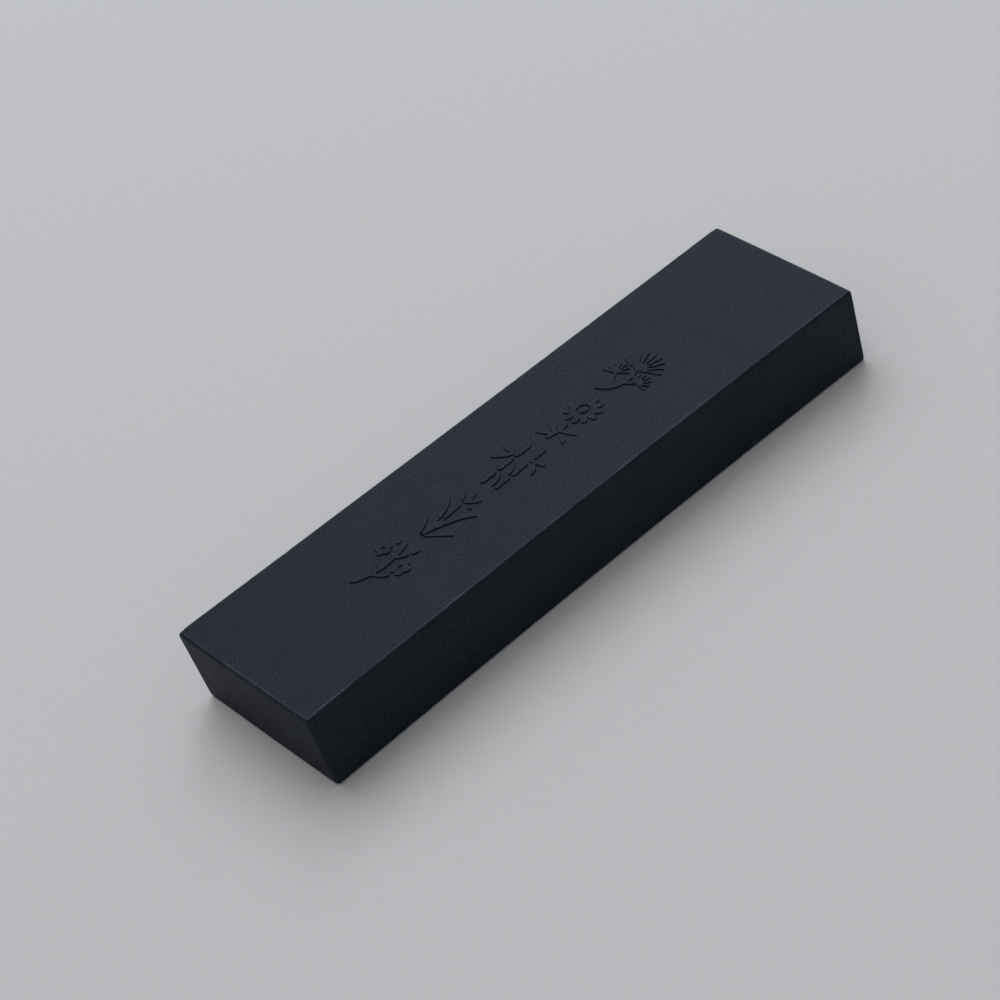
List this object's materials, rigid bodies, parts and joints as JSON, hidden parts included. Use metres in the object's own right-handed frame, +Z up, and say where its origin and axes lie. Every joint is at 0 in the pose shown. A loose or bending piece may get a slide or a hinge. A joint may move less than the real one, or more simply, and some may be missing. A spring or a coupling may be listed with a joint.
{
  "type": "ink stick",
  "caption": "Oblong pressed ink stick with finely bevelled edges and a row of raised plant sprigs on its upper face, for rubbing on an ink stone.",
  "frame": {"origin": "middle of the face that the stick rests on", "axes": "+X along the stick from the end that is rubbed on the stone to the end that is held, +Z up out of the face with the raised sprigs, +Y across its width"},
  "size_m": [0.088, 0.025, 0.0112],
  "materials": {
    "ink_cake": "pressed soot and glue, rubbed to a satin polish",
    "ink_relief": "pressed soot and glue, moulded relief with rubbed tops"
  },
  "bodies": {
    "root": {"ink_block": "ink_cake", "plum_sprig": "ink_relief", "orchid_sprig": "ink_relief", "bamboo_sprig": "ink_relief", "aster_sprig": "ink_relief", "pine_sprig": "ink_relief"}
  },
  "joints": []
}
